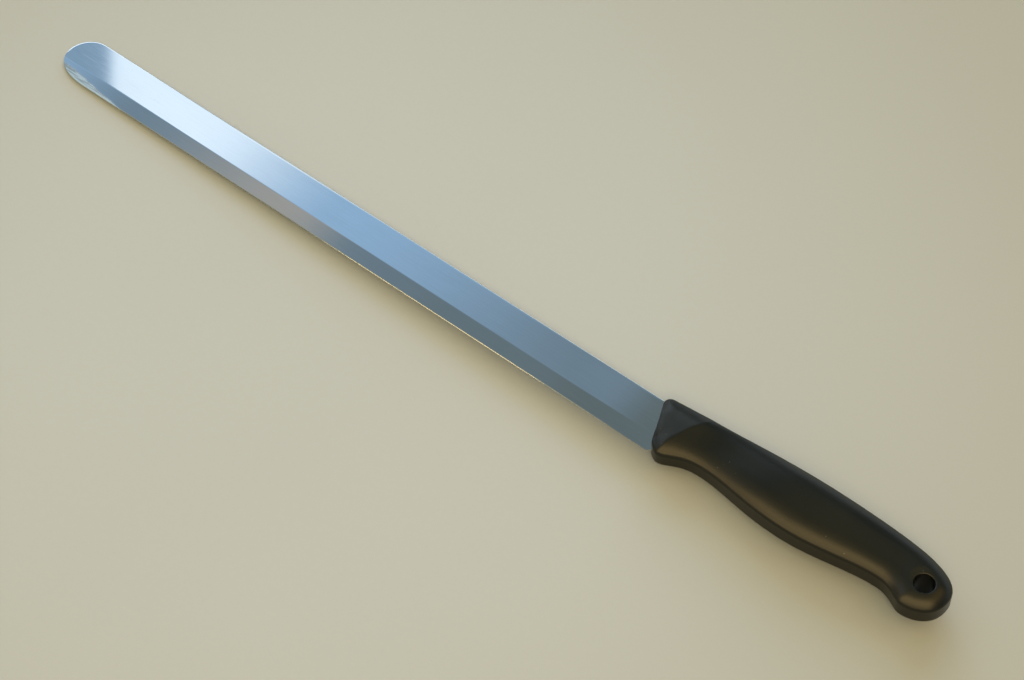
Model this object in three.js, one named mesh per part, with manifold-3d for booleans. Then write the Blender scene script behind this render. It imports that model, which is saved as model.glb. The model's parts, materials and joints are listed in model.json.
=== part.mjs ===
// A cake knife lying on its side, as it is put down on a table: a long flat blade with a round tip,
// whose tang is held in a one-piece moulded handle with a hanging hole.
// Millimetres. X runs from the tip to the butt, Y towards the spine, Z up from the table.

import * as THREE from 'three';
import { mergeVertices } from 'three/addons/utils/BufferGeometryUtils.js';
import Module from 'manifold-3d';

const wasm = await Module();
wasm.setup();

// The knife is drawn with the heel of the blade at x = 0, the blade's centre line at y = 0
// and the middle of the blade's thickness at z = 0. It is laid on the table at the end.

// Blade
const bladeLength = 302.5; // tip to heel
const bladeWidth = 21;
const bladeThickness = 1.6;
const bevelWidth = 6.4; // ground strip along the cutting edge
const edgeThickness = 0.3; // flat left on the cutting edge
const tipUndercut = 18.5; // length of the rounding on the lower side of the tip
const tipFullness = 0.83; // below 1 that rounding is fuller than an ellipse
const frontMargin = 4; // bare blade between the flat side faces and the handle
const spine = bladeWidth / 2;
const edge = -bladeWidth / 2;

// Tang, hidden in the handle
const heelStep = 1.2; // the cutting edge steps up behind the heel
const spineStep = 2; // the spine steps down inside the handle
const stepRun = 1.5; // length of each slanted step
const neckLength = 6; // full neck behind the heel
const tangLength = 80; // heel to the end of the tang
const tangWidth = 11;
const tangOffset = 2.5; // the tang's centre line above the blade's
const waistDepth = 1.8; // notches in both sides of the tang, which key it into the handle
const waistLength = 9;
const firstWaist = 24; // heel to the start of the first notch
const waistPitch = 24;
const waistCount = 2;
const socketClearance = 0.35; // between the tang and the plastic round it

// Front of the handle, seen from its side
const handleLength = 128.5; // front corner to butt
const frontReach = 3; // the front face stands this far ahead of the heel on the centre line
const frontSlope = 0.4; // the front face leans towards the tip, per millimetre of rise
const frontBow = -0.3; // the front face swells by this much in its middle, or hollows if negative
const backStep = 0.5; // the handle's back above the blade's spine
const guardDrop = 0.5; // the finger guard below the cutting edge
const creaseStep = 1; // the back end of the crease above the front corner
const cornerRound = 4.2; // length taken off each side of a front corner by its rounding
const cornerPull = 0.5; // how far the rounding is drawn out to the corner, as a share

// Turning points of the handle's outline, placed behind the heel or ahead of the butt, and raised from
// the blade's centre line
const creaseBack = 14; // heel to the back end of the crease
const guardBack = 5;
const fingerHollow = { back: 22, rise: -6.3 };
const belly = { back: 57.8, rise: -9.5 };
const crest = { back: 74, rise: 15.1 };
const rearHollow = { ahead: 24.6, rise: -5 };
const beak = { ahead: 12.5, rise: -8.8 };
const buttRise = 2.6;
const buttUpright = 9.4; // how far the round butt end keeps upright above and below its end point

// How far the outline runs level out of one turning point and into the next, as shares of the way
const guardToFinger = [0.24, 0.62];
const fingerToBelly = [0.29, 0.47];
const bellyToRear = [0.37, 0.29];
const rearToBeak = [0.52, 0.26];
const beakToButt = 0.32;
const creaseToCrest = [0.26, 0.525];
const crestToButt = 0.71;

// Hanging hole
const holeDiameter = 7.6;
const holeFromButt = 9.9;
const holeRise = 1.4;
const holeRim = 0.8; // easing of the hole's edge

// Handle, half thicknesses: at the rounded edge along the belly (shoulder) and along the back (back
// shoulder), and along the middle (crown)
const guardShoulder = 3.8;
const frontBackShoulder = 4.7;
const frontCrown = 5.7;
const creaseShoulder = 4.1;
const creaseBackShoulder = 6.7;
const creaseCrown = 7.8;
const middleShoulder = 4.4;
const middleBackShoulder = 6.2;
const middleCrown = 8.6;
const buttShoulder = 4.1;
const buttBackShoulder = 5.1;
const buttCrown = 7.2;
const middlePlace = 0.45; // where the handle is thickest, as a share of the way from crease to butt
const fingerDip = 0.75; // the crown dips by this much behind the crease
const fingerDipLength = 42; // crease to the end of the dip
const fingerDipScale = 6.75; // brings the dip's curve to 1 where it is deepest

// Handle, radius of the rounded edge all round its sides
const frontRound = 1.4;
const creaseRound = 2.2;
const middleRound = 2;
const buttRound = 2;

// How finely the curves are divided. The back has more steps than the belly, and those left over
// close the butt.
const tipSteps = 10;
const undercutSteps = 3;
const crownSteps = 5;
const roundSteps = 4;
const holeSides = 28;
const bellySteps = [4, 7, 8];
const buttSteps = [6, 7];
const backSteps = [10, 14];
const frontRibs = 3;
const guardSteps = 8;
const cornerSteps = 5;
const faceSteps = 4;

const weldDistance = 1e-4; // points closer than this are one point
const cutPast = 1; // the hole's cutter runs this far past the thickest part
const point = (x, y) => new THREE.Vector2(x, y);
const { clamp, lerp, smoothstep } = THREE.MathUtils;

// Closed solids

function geometryFrom(positions, triangles) {
  const loose = new THREE.BufferGeometry();
  loose.setAttribute('position', new THREE.Float32BufferAttribute(positions, 3));
  loose.setIndex(triangles);
  const merged = mergeVertices(loose, weldDistance);
  const corners = merged.index.array;
  const kept = [];
  for (let i = 0; i < corners.length; i += 3) {
    const [a, b, c] = corners.slice(i, i + 3);
    if (a !== b && b !== c && c !== a) kept.push(a, b, c);
  }
  merged.setIndex(kept);
  return merged;
}

function solidFrom(geometry) {
  const bare = geometry.clone();
  bare.deleteAttribute('normal');
  bare.deleteAttribute('uv');
  const merged = mergeVertices(bare, weldDistance);
  return new wasm.Manifold(new wasm.Mesh({
    numProp: 3,
    vertProperties: new Float32Array(merged.attributes.position.array),
    triVerts: new Uint32Array(merged.index.array),
  }));
}

function geometryOf(solid) {
  const { vertProperties, triVerts } = solid.getMesh();
  const geometry = new THREE.BufferGeometry();
  geometry.setAttribute('position', new THREE.BufferAttribute(vertProperties, 3));
  geometry.setIndex(new THREE.BufferAttribute(triVerts, 1));
  return geometry;
}

// Joins rings of equal length into a skin; each ring runs the same way round.
function skinOf(rings, closedRing) {
  const size = rings[0].length;
  const last = closedRing ? size : size - 1;
  const triangles = [];
  for (let r = 0; r + 1 < rings.length; r += 1) {
    for (let k = 0; k < last; k += 1) {
      const a = r * size + k;
      const b = r * size + (k + 1) % size;
      triangles.push(a, b, a + size, b, b + size, a + size);
    }
  }
  return triangles;
}

// Blade and tang: sections across the knife, each from its lower to its upper outline

const noseRadius = bladeWidth / 2;
const grindLine = edge + bevelWidth;
const frontAt = (rise) => -frontReach - frontSlope * rise;
const tangTop = tangOffset + tangWidth / 2;
const tangBottom = tangOffset - tangWidth / 2;

// Above its centre line the tip is a quarter circle. Below it, it is a longer, fuller rounding.
function noseStations() {
  const turns = Array.from({ length: tipSteps + 1 }, (_, i) => (i / tipSteps) * Math.PI / 2);
  const places = turns.map((turn) => noseRadius * (1 - Math.cos(turn)));
  for (let i = 1; i <= undercutSteps; i += 1) places.push(lerp(noseRadius, tipUndercut, i / undercutSteps));
  const grindTurn = (-grindLine / noseRadius) ** (2 / tipFullness);
  places.push(tipUndercut * (1 - (1 - grindTurn) ** (tipFullness / 2)));
  places.sort((a, b) => a - b);
  return places.map((back) => {
    const ahead = Math.max(noseRadius - back, 0);
    const level = (1 - back / tipUndercut) ** (2 / tipFullness);
    return {
      x: back - bladeLength,
      low: -noseRadius * (1 - level) ** (tipFullness / 2),
      high: Math.sqrt(noseRadius ** 2 - ahead ** 2),
    };
  });
}

function neckStations() {
  const neckLow = edge + heelStep;
  const neckHigh = spine - spineStep;
  const front = frontAt(spine);
  return [
    { x: front - frontMargin, low: edge, high: spine },
    { x: front, low: edge, high: spine },
    { x: front + stepRun, low: edge, high: neckHigh },
    { x: 0, low: edge, high: neckHigh },
    { x: stepRun, low: neckLow, high: neckHigh },
    { x: neckLength, low: neckLow, high: neckHigh },
    { x: neckLength + stepRun, low: tangBottom, high: tangTop },
  ];
}

function tangStations() {
  const stations = [];
  const add = (x, inset) => stations.push({ x, low: tangBottom + inset, high: tangTop - inset });
  for (let i = 0; i < waistCount; i += 1) {
    const start = firstWaist + i * waistPitch;
    add(start, 0);
    add(start + stepRun, waistDepth);
    add(start + waistLength - stepRun, waistDepth);
    add(start + waistLength, 0);
  }
  add(tangLength - waistDepth, 0);
  add(tangLength, waistDepth);
  return stations;
}

function halfThicknessAt(rise) {
  const up = clamp((rise - edge) / bevelWidth, 0, 1);
  return lerp(edgeThickness, bladeThickness, up) / 2;
}

// A ring round one section: spine, grind line and edge above, then the same below, grown by a clearance.
function bladeRing({ x, low, high }, grow) {
  const grind = clamp(grindLine, low, high);
  const flat = halfThicknessAt(grind) + grow;
  const thin = halfThicknessAt(low) + grow;
  const top = high + grow;
  const bottom = low - grow;
  return [
    [x, top, flat], [x, grind, flat], [x, bottom, thin],
    [x, bottom, -thin], [x, grind, -flat], [x, top, -flat],
  ];
}

function bladeGeometry(stations, grow) {
  const rings = stations.map((station) => bladeRing(station, grow));
  const triangles = skinOf(rings, true);
  const cap = (ring, flip) => {
    const start = ring * rings[0].length;
    const faces = [[0, 1, 4], [0, 4, 5], [1, 2, 3], [1, 3, 4]];
    for (const [a, b, c] of faces) {
      triangles.push(start + a, start + (flip ? c : b), start + (flip ? b : c));
    }
  };
  cap(0, true);
  cap(rings.length - 1, false);
  return geometryFrom(rings.flat(2), triangles);
}

const bladeStations = [...noseStations(), ...neckStations(), ...tangStations()];

// The socket stands off the tang on every side: further back where the tang narrows, further forward
// where it widens.
function socketGeometry() {
  const tang = [...neckStations(), ...tangStations()];
  const widthOf = ({ low, high }) => high - low;
  const stations = tang.map((station, i) => {
    const before = tang[Math.max(i - 1, 0)];
    const after = tang[Math.min(i + 1, tang.length - 1)];
    const narrowing = Math.sign(widthOf(before) - widthOf(after));
    return { ...station, x: station.x + narrowing * socketClearance };
  });
  return bladeGeometry(stations, socketClearance);
}

// Handle outline: curves between the turning points

const cornerRise = spine + backStep;
const frontCorner = point(frontAt(cornerRise), cornerRise);
const buttEnd = point(frontCorner.x + handleLength, buttRise);
const creasePoint = point(creaseBack, cornerRise + creaseStep);
const guardPoint = point(guardBack, edge - guardDrop);
const fingerPoint = point(fingerHollow.back, fingerHollow.rise);
const bellyPoint = point(belly.back, belly.rise);
const crestPoint = point(crest.back, crest.rise);
const rearPoint = point(buttEnd.x - rearHollow.ahead, rearHollow.rise);
const beakPoint = point(buttEnd.x - beak.ahead, beak.rise);

const levelWay = (from, to, share) => point(share * (to.x - from.x), 0);

function levelCurve(from, to, [out, into]) {
  const leave = from.clone().add(levelWay(from, to, out));
  const arrive = to.clone().sub(levelWay(from, to, into));
  return new THREE.CubicBezierCurve(from, leave, arrive, to);
}

// A curve into the round butt end, from below (side -1) or from above (side 1)
function buttCurve(from, out, side) {
  const leave = from.clone().add(levelWay(from, buttEnd, out));
  const arrive = buttEnd.clone().add(point(0, side * buttUpright));
  return new THREE.CubicBezierCurve(from, leave, arrive, buttEnd);
}

const bellyCurves = [
  levelCurve(guardPoint, fingerPoint, guardToFinger),
  levelCurve(fingerPoint, bellyPoint, fingerToBelly),
  levelCurve(bellyPoint, rearPoint, bellyToRear),
];
const beakCurves = [levelCurve(rearPoint, beakPoint, rearToBeak), buttCurve(beakPoint, beakToButt, -1)];
const backDirection = creasePoint.clone().sub(frontCorner).normalize();
const [creaseOut, crestInto] = creaseToCrest;
const backRise = new THREE.CubicBezierCurve(
  creasePoint,
  creasePoint.clone().addScaledVector(backDirection, creaseOut * (crestPoint.x - creasePoint.x)),
  crestPoint.clone().sub(levelWay(creasePoint, crestPoint, crestInto)),
  crestPoint,
);
const backCurves = [backRise, buttCurve(crestPoint, crestToButt, 1)];

const frontDirection = point(-frontSlope, 1).normalize();
const frontNormal = point(-frontDirection.y, frontDirection.x);
const cornerStart = frontCorner.clone().addScaledVector(backDirection, cornerRound);
const cornerEnd = frontCorner.clone().addScaledVector(frontDirection, -cornerRound);
const guardTurnRise = guardPoint.y + cornerRound;
const guardTurn = point(frontAt(guardTurnRise), guardTurnRise);

// A rounded corner leaves both of its sides smoothly.
function cornerCurve(from, corner, to) {
  const leave = from.clone().lerp(corner, cornerPull);
  const arrive = to.clone().lerp(corner, cornerPull);
  return new THREE.CubicBezierCurve(from, leave, arrive, to);
}

const frontFace = new THREE.QuadraticBezierCurve(
  cornerEnd,
  cornerEnd.clone().add(guardTurn).divideScalar(2).addScaledVector(frontNormal, 2 * frontBow),
  guardTurn,
);
const backCorner = cornerCurve(cornerStart, frontCorner, cornerEnd);
const guardCorner = cornerCurve(guardTurn, point(frontAt(guardPoint.y), guardPoint.y), guardPoint);

// Ribs cross the handle from belly to back, side by side with the crease; each has its own thickness.

function alongHandle(share, first, middle, last) {
  if (share < middlePlace) return lerp(first, middle, smoothstep(share, 0, middlePlace));
  return lerp(middle, last, smoothstep(share, middlePlace, 1));
}

const chain = (curves, counts) => curves.flatMap((curve, i) => curve.getPoints(counts[i]).slice(1));

function makeRibs() {
  const bellyEdge = [guardPoint, ...chain(bellyCurves, bellySteps)];
  const backEdge = [creasePoint, ...chain(backCurves, backSteps)];
  const lastRib = bellyEdge.length - 1;
  const ribs = bellyEdge.map((low, i) => {
    const share = i / lastRib;
    const behind = clamp((low.x - guardPoint.x) / fingerDipLength, 0, 1);
    const dip = fingerDip * fingerDipScale * behind * (1 - behind) ** 2;
    return {
      low,
      high: backEdge[i],
      lowShoulder: alongHandle(share, creaseShoulder, middleShoulder, buttShoulder),
      highShoulder: alongHandle(share, creaseBackShoulder, middleBackShoulder, buttBackShoulder),
      round: alongHandle(share, creaseRound, middleRound, buttRound),
      crown: alongHandle(share, creaseCrown, middleCrown, buttCrown) - dip,
    };
  });
  const buttFan = [...chain(beakCurves, buttSteps), ...backEdge.slice(lastRib + 1, -1).reverse()];
  return { ribs, buttFan };
}

// Ahead of the crease the sides close in towards the front face.
function makeFrontRibs() {
  const guardEdge = guardCorner.getPoints(guardSteps).reverse();
  const ribs = [];
  for (let i = 1; i <= frontRibs; i += 1) {
    const share = i / (frontRibs + 1);
    ribs.unshift({
      low: guardEdge[i],
      high: creasePoint.clone().lerp(cornerStart, share),
      lowShoulder: lerp(creaseShoulder, guardShoulder, share),
      highShoulder: lerp(creaseBackShoulder, frontBackShoulder, share),
      round: lerp(creaseRound, frontRound, share),
      crown: lerp(creaseCrown, frontCrown, share),
    });
  }
  const face = frontFace.getPoints(faceSteps).slice(1, -1);
  const guardRest = guardEdge.slice(frontRibs + 1).reverse();
  return { ribs, frontFan: [...backCorner.getPoints(cornerSteps), ...face, ...guardRest] };
}

// The outline runs anticlockwise: along the belly, round the butt, along the back and down the front.
function handleOutline() {
  const { ribs: rearRibs, buttFan } = makeRibs();
  const { ribs: frontOnes, frontFan } = makeFrontRibs();
  const ribs = [...frontOnes, ...rearRibs];
  const centreOf = (rib) => rib.low.clone().add(rib.high).divideScalar(2);
  const first = ribs[0];
  const last = ribs[ribs.length - 1];
  const lowSide = ribs.map((rib) => ({
    rim: rib.low, centre: centreOf(rib), shoulder: rib.lowShoulder, crown: rib.crown, round: rib.round,
  }));
  const highSide = ribs.map((rib) => ({
    rim: rib.high, centre: centreOf(rib), shoulder: rib.highShoulder, crown: rib.crown, round: rib.round,
  }));
  const buttSide = buttFan.map((rim, i) => {
    const shoulder = lerp(last.lowShoulder, last.highShoulder, i / buttFan.length);
    return { rim, centre: centreOf(last), shoulder, crown: last.crown, round: last.round };
  });
  const frontSide = frontFan.map((rim) => {
    const share = clamp((rim.y - first.low.y) / (first.high.y - first.low.y), 0, 1);
    const shoulder = lerp(guardShoulder, frontBackShoulder, share);
    return { rim, centre: centreOf(first), shoulder, crown: first.crown, round: frontRound };
  });
  return { places: [...lowSide, ...buttSide, ...highSide.reverse(), ...frontSide], ribs: lowSide };
}

// One half section, from the crown over the rounded edge down to the flat wall. The top falls away
// slowly at first and steeply near the edge.
function halfProfile({ rim, centre, shoulder, crown, round }, inward) {
  const lean = Math.atan2(3 * (crown - shoulder), rim.distanceTo(centre));
  const start = rim.clone().addScaledVector(inward, round * (1 - Math.sin(lean)));
  const profile = [];
  for (let k = 0; k < crownSteps; k += 1) {
    const out = k / crownSteps;
    const at = centre.clone().lerp(start, out);
    profile.push([at.x, at.y, lerp(crown, shoulder, out ** 3)]);
  }
  const wallTop = shoulder - round * Math.cos(lean);
  for (let k = 0; k <= roundSteps; k += 1) {
    const turn = (Math.PI / 2 - lean) * (1 - k / roundSteps);
    const at = rim.clone().addScaledVector(inward, round * (1 - Math.cos(turn)));
    profile.push([at.x, at.y, wallTop + round * Math.sin(turn)]);
  }
  return profile;
}

const { places: handlePlaces, ribs: handleRibs } = handleOutline();

function handleBodyGeometry() {
  const count = handlePlaces.length;
  const rings = handlePlaces.map((place, i) => {
    const before = handlePlaces[(i + count - 1) % count].rim;
    const after = handlePlaces[(i + 1) % count].rim;
    const along = after.clone().sub(before).normalize();
    const upper = halfProfile(place, point(-along.y, along.x));
    const lower = upper.map(([x, y, z]) => [x, y, -z]).reverse();
    return [...upper, ...lower];
  });
  rings.push(rings[0]);
  return geometryFrom(rings.flat(2), skinOf(rings, false));
}

// The hanging hole's cutter, with an eased edge on both sides
function holeGeometry() {
  const radius = holeDiameter / 2;
  const reach = middleCrown + cutPast;
  const profile = [
    point(0, -reach),
    point(radius + holeRim + reach - buttCrown, -reach),
    point(radius, -buttCrown + holeRim),
    point(radius, buttCrown - holeRim),
    point(radius + holeRim + reach - buttCrown, reach),
    point(0, reach),
  ];
  const cutter = new THREE.LatheGeometry(profile, holeSides);
  cutter.rotateX(Math.PI / 2);
  cutter.translate(buttEnd.x - holeFromButt, holeRise, 0);
  return cutter;
}

function handleGeometry() {
  const body = solidFrom(handleBodyGeometry());
  const socket = solidFrom(socketGeometry());
  const hole = solidFrom(holeGeometry());
  return geometryOf(body.subtract(socket).subtract(hole));
}

// Materials and assembly

const steel = new THREE.MeshStandardMaterial({ color: 0xa9b4bc, roughness: 0.28, metalness: 1 });
const blackPlastic = new THREE.MeshStandardMaterial({ color: 0x1c1d1b, roughness: 0.48, metalness: 0 });

const blade = new THREE.Mesh(bladeGeometry(bladeStations, 0), steel);
blade.name = 'blade';
const handle = new THREE.Mesh(handleGeometry(), blackPlastic);
handle.name = 'handle';

const knife = new THREE.Group();
knife.add(blade, handle);

// The knife lies on the tip of the blade and on the thickest part of the handle.
const lift = (rib) => Math.atan2(rib.crown - bladeThickness / 2, rib.centre.x + bladeLength);
knife.rotation.y = -Math.max(...handleRibs.map(lift));
const box = new THREE.Box3().setFromObject(knife, true);
knife.position.set(-(box.min.x + box.max.x) / 2, -(box.min.y + box.max.y) / 2, -box.min.z);

export default knife;
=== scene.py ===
"""A cake knife lying on a pale table: a long steel blade with a round tip in a black moulded handle.

The knife is drawn with the heel of the blade at the origin, X from the tip to the butt, Y towards the
spine and Z out of the blade's upper side. It is then laid where the packed model lies. Metres.
"""

import json
import math
from types import SimpleNamespace

import bmesh
import bpy
import numpy as np
from bpy.props import FloatProperty, FloatVectorProperty, PointerProperty
from mathutils import Matrix, Vector


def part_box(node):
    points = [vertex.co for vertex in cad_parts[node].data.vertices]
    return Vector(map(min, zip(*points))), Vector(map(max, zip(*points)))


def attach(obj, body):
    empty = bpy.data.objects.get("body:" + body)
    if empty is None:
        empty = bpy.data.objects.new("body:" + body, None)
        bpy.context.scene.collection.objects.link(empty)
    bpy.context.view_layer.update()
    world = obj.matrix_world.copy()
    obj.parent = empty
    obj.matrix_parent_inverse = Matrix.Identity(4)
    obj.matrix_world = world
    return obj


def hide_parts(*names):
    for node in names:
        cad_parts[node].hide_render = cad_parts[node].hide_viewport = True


bl_info = {
    "name": "Cake knife",
    "version": (1, 0, 0),
    "blender": (4, 5, 0),
    "location": "3D View > Sidebar > Knife",
    "description": "Builds a cake knife with a steel blade and a moulded handle, and a table to show it on",
    "category": "Add Mesh",
}

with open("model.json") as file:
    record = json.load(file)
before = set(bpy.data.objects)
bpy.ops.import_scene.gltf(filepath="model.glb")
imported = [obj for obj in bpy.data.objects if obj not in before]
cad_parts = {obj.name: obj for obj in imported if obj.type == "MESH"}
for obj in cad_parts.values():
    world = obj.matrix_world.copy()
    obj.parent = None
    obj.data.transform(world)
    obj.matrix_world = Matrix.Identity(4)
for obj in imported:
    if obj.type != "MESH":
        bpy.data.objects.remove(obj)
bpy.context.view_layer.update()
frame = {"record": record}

MM = 0.001


def length(label, millimetres, words):
    """A size, written in millimetres and held in metres."""
    return FloatProperty(name=label, description=words, default=millimetres * MM, unit="LENGTH", precision=5)


def share(label, value, words):
    """A number from 0 to 1."""
    return FloatProperty(name=label, description=words, default=value, min=0, max=1, subtype="FACTOR")


def amount(label, value, words):
    """A plain number."""
    return FloatProperty(name=label, description=words, default=value)


def angle(label, degrees, words):
    """An angle, written in degrees."""
    return FloatProperty(name=label, description=words, default=math.radians(degrees), unit="ROTATION")


def colour(label, value, words):
    """A colour, as linear red, green and blue. A light's may be above 1."""
    return FloatVectorProperty(name=label, description=words, default=value, size=3, subtype="COLOR", min=0)


def turn(label, x, y, words):
    """A turning point of the handle's outline, in millimetres behind the heel and above the centre line."""
    place = (x * MM, y * MM)
    return FloatVectorProperty(name=label, description=words, default=place, size=2, unit="LENGTH")


# Sizes and colours

class BladeSizes(bpy.types.PropertyGroup):
    """The steel blade and its tang."""

    length: length("Length", 302.5, "Tip to heel")
    width: length("Width", 21, "Cutting edge to spine")
    thickness: length("Thickness", 1.6, "Thickness of the flat")
    bevel: length("Bevel", 6.4, "Width of the ground strip along the cutting edge")
    bevel_edge: length("Bevel edge", 0.25, "Thickness that the ground strip comes down to")
    grind_ease: length("Grind easing", 0.3, "Half width of the softened line between flat and bevel")
    honed: length("Honed edge", 0.12, "Width of the fine facet on the cutting edge")
    keen: length("Keen edge", 0.06, "Thickness left on the cutting edge")
    spine_ease: length("Spine easing", 0.34, "Radius of the eased spine, which narrows towards the tip")
    tip_low: length("Tip undercut", 18.5, "Length of the rounding on the lower side of the tip")
    tip_grind: length("Tip grind", 4.8, "Width of the rough facet on the lower side of the tip")
    tip_run: length("Tip grind run", 48, "How far the rough facet runs back from the tip")
    heel_step: length("Heel step", 1.2, "Step of the cutting edge behind the heel")
    spine_step: length("Spine step", 2, "Step of the spine inside the handle")
    spine_run: length("Spine run", 3, "How far the spine runs into the handle before its step")
    step_run: length("Step run", 1.5, "Length of each slanted step")
    neck: length("Neck", 6, "Full neck behind the heel")
    tang: length("Tang length", 80, "Heel to the end of the tang")
    tang_width: length("Tang width", 11, "Width of the tang")
    tang_offset: length("Tang offset", 2.5, "Centre line of the tang above that of the blade")
    notch_depth: length("Notch depth", 1.8, "Depth of the notches that key the tang into the handle")
    notch: length("Notch length", 9, "Length of a notch")
    first_notch: length("First notch", 24, "Heel to the first notch")
    notch_pitch: length("Notch pitch", 24, "From one notch to the next")
    clearance: length("Socket clearance", 0.12, "Between the tang and the plastic round it")


class HandleSizes(bpy.types.PropertyGroup):
    """The moulded handle: its outline, its half thicknesses and its rounded edges."""

    length: length("Length", 128.5, "Front corner to butt")
    front_reach: length("Front reach", 3, "Front face ahead of the heel on the centre line")
    front_slope: amount("Front slope", 0.4, "Lean of the front face towards the tip, per unit of rise")
    front_bow: length("Front bow", -0.3, "Swell of the front face in its middle")
    back_step: length("Back step", 0.5, "Back of the handle above the spine")
    guard_drop: length("Guard drop", 0.5, "Finger guard below the cutting edge")
    crease_step: length("Crease step", 1, "Back end of the crease above the front corner")
    corner: length("Corner rounding", 4.2, "Length taken off each side of a front corner")
    facet: length("Front facet", 12.5, "Length of the facet between the front face and the crease")
    crease_back: length("Crease place", 14, "Heel to the back end of the crease")
    crease_ease: length("Crease easing", 0.5, "Half width of the softened crease")
    crease_bow: length("Crease bow", 1.2, "Bow of the crease towards the front, in its middle")
    guard_back: length("Guard place", 5, "Heel to the lowest point of the guard")
    finger: turn("Finger hollow", 22, -6.3, "Deepest point of the finger hollow")
    belly: turn("Belly", 57.8, -9.5, "Lowest point of the palm swell")
    crest: turn("Crest", 74, 15.1, "Highest point of the back")
    rear: turn("Rear hollow", 96.5, -5.0, "Deepest point of the hollow before the beak")
    beak: turn("Beak", 108.6, -8.8, "Lowest point of the beak")
    butt_rise: length("Butt rise", 2.6, "End point of the butt above the centre line")
    butt_upright: length("Butt upright", 9.4, "How far the butt keeps upright above and below its end")
    hole: length("Hole", 7.6, "Diameter of the hanging hole")
    hole_from_butt: length("Hole place", 9.9, "Butt end to the middle of the hole")
    hole_rise: length("Hole rise", 1.4, "Middle of the hole above the centre line")
    hole_ease: length("Hole easing", 0.6, "Radius of the rounded rim of the hole")
    front_back: length("Front back shoulder", 4.7, "Half thickness at the front corner")
    front_guard: length("Guard shoulder", 3.8, "Half thickness at the guard")
    front_crown: length("Front crown", 5.35, "Half thickness in the middle of the front face")
    crease_shoulder: length("Crease shoulder", 4.1, "Half thickness at the lower end of the crease")
    crease_high: length("Crease back shoulder", 6.7, "Half thickness at the back end of the crease")
    crease_crown: length("Crease crown", 7.42, "Half thickness in the middle of the crease")
    middle_shoulder: length("Palm shoulder", 4.4, "Half thickness at the lower edge of the palm swell")
    middle_high: length("Palm back shoulder", 6.2, "Half thickness at the back of the palm swell")
    middle_crown: length("Palm crown", 8.55, "Half thickness in the middle of the palm swell")
    finger_dip: length("Finger dip", 0.75, "Dip of the crown behind the crease")
    finger_dip_run: length("Finger dip length", 42, "Crease to the end of the dip")
    butt_shoulder: length("Butt shoulder", 4.1, "Half thickness at the edge of the butt")
    butt_high: length("Butt back shoulder", 5.1, "Half thickness at the back, ahead of the butt")
    butt_crown: length("Butt crown", 7.2, "Half thickness in the middle of the butt")
    middle: share("Palm place", 0.45, "Thickest place, as a share of the way from crease to rear hollow")
    front_round: length("Front rounding", 1.4, "Edge radius at the front")
    crease_round: length("Crease rounding", 2.2, "Edge radius at the crease")
    middle_round: length("Palm rounding", 2, "Edge radius along the palm swell")
    butt_round: length("Butt rounding", 2, "Edge radius at the butt")


class Finish(bpy.types.PropertyGroup):
    """Colours and gloss."""

    steel: colour("Steel", (0.60, 0.62, 0.63), "Colour of the ground steel")
    steel_rough: share("Steel roughness", 0.032, "Roughness of the flat of the blade")
    ground: colour("Rough steel", (0.37, 0.44, 0.47), "Colour of the rough facet at the tip")
    ground_rough: share("Tip roughness", 0.32, "Roughness of the rough facet at the tip")
    plastic: colour("Plastic", (0.0042, 0.0041, 0.0020), "Colour of the handle")
    plastic_rough: share("Plastic roughness", 0.335, "Roughness of the handle")
    dust: colour("Dust", (0.09, 0.09, 0.08), "Colour of the specks on the handle")


class Stage(bpy.types.PropertyGroup):
    """Table, lights and camera."""

    floor: colour("Floor", (0.53, 0.505, 0.42), "Colour of the table")
    # Painted shade: the table takes this darker colour away from the knife, as if a pool of light lay round
    # it.
    floor_painted_shade: colour("Floor edge", (0.435, 0.395, 0.288), "Colour of the table away from the knife")
    backdrop: colour("Backdrop", (0.50, 0.49, 0.40), "What the camera sees beyond the table")
    room: colour("Room", (0.18, 0.23, 0.24), "Dim light from all round")
    ceiling: colour("Ceiling", (0.62, 0.59, 0.40), "Soft light from above")
    horizon: colour("Horizon", (0.68, 0.80, 0.86), "Low light beyond the spine")
    sky: colour("Sky", (0.43, 0.68, 0.98), "Cool light beyond the tip")
    glow: colour("Glow", (0.54, 0.53, 0.50), "Warm patch that the ground strip of the blade mirrors")
    pane: colour("Pane", (1.25, 1.47, 1.68), "Bright pane that the tip end of the blade mirrors")
    strip: colour("Strip light", (1.0, 0.73, 0.35), "Colour of the warm light that the edges mirror")
    strip_power: amount("Strip power", 10.5, "Power of the warm light, in watts")
    main_lamp: colour("Main lamp", (1.0, 0.87, 0.56), "Colour of the light from the near side")
    main_power: amount("Main power", 24.0, "Power of the light from the near side, in watts")
    far_lamp: colour("Far lamp", (0.45, 0.62, 1.0), "Colour of the light beyond the spine")
    far_power: amount("Far lamp power", 255.0, "Power of the light beyond the spine, in watts")
    aim: FloatVectorProperty(
        name="Aim", description="Point on the table in the middle of the picture",
        default=(0.01912, -0.00097, 0), unit="LENGTH",
    )
    distance: length("Distance", 943.9, "Camera to the aimed point")
    azimuth: angle("Azimuth", 38.654, "Turn of the camera round the table")
    elevation: angle("Elevation", 55.5, "Camera above the table")
    lens: amount("Lens", 87.89, "Focal length in millimetres, on a sensor 36 mm wide")


# Shader sums

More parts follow.
